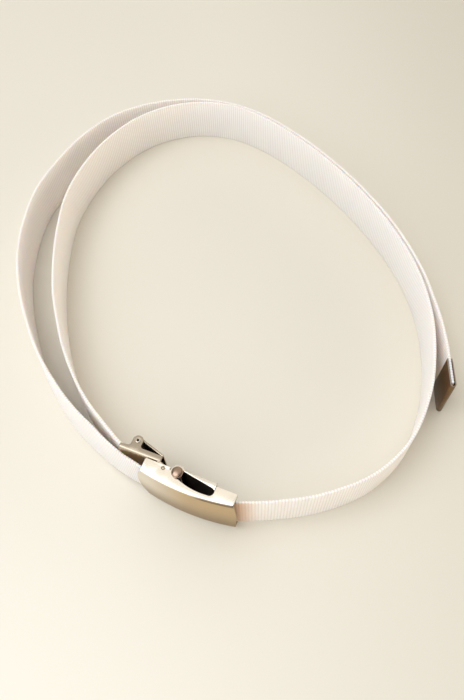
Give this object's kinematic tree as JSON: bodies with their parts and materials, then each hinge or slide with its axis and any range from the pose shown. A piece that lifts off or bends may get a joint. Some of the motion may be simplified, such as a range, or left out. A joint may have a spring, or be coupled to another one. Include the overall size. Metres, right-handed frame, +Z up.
{
  "type": "web belt",
  "caption": "Ribbed woven web belt with a sliding-bar clamp buckle, a hinged strap clip and a metal tip, coiled on its edge.",
  "frame": {"origin": "middle of the belt's footprint, on the surface that it stands on", "axes": "+X along the buckle's face from the strap clip's end to the other, -Y out of the buckle's face, +Z up, across the webbing's width"},
  "size_m": [0.2846, 0.2758, 0.0381],
  "materials": {
    "webbing": "off-white ribbed nylon webbing",
    "satin_metal": "satin champagne nickel plate",
    "bright_metal": "bright nickel plate",
    "tip_metal": "satin nickel plate, darker"
  },
  "bodies": {
    "buckle": {"buckle_case": "satin_metal", "bar_guide": "bright_metal", "clip_hinge_pin": "bright_metal", "webbing": "webbing", "webbing_tip": "tip_metal"},
    "bar": {"locking_bar": "bright_metal", "bar_knob_upper": "bright_metal", "bar_knob_lower": "bright_metal"},
    "clip": {"clip_base": "bright_metal", "clamp_flap_pin": "bright_metal"},
    "flap": {"clamp_flap": "bright_metal"}
  },
  "joints": [
    {"name": "bar_slide", "type": "slide", "parent": "buckle", "child": "bar", "axis": [0.9874, -0.1584, 0], "range_m": [0, 0.01803]},
    {"name": "clip_swing", "type": "hinge", "parent": "buckle", "child": "clip", "pos_m": [0.02077, -0.12987, 0.01905], "axis": [0, 0, -1], "range_deg": [0, 25], "deforming": ["webbing"]},
    {"name": "flap_hinge", "type": "hinge", "parent": "clip", "child": "flap", "pos_m": [0.00277, -0.12117, 0.01905], "axis": [0, 0, 1], "range_deg": [0, 80]}
  ]
}
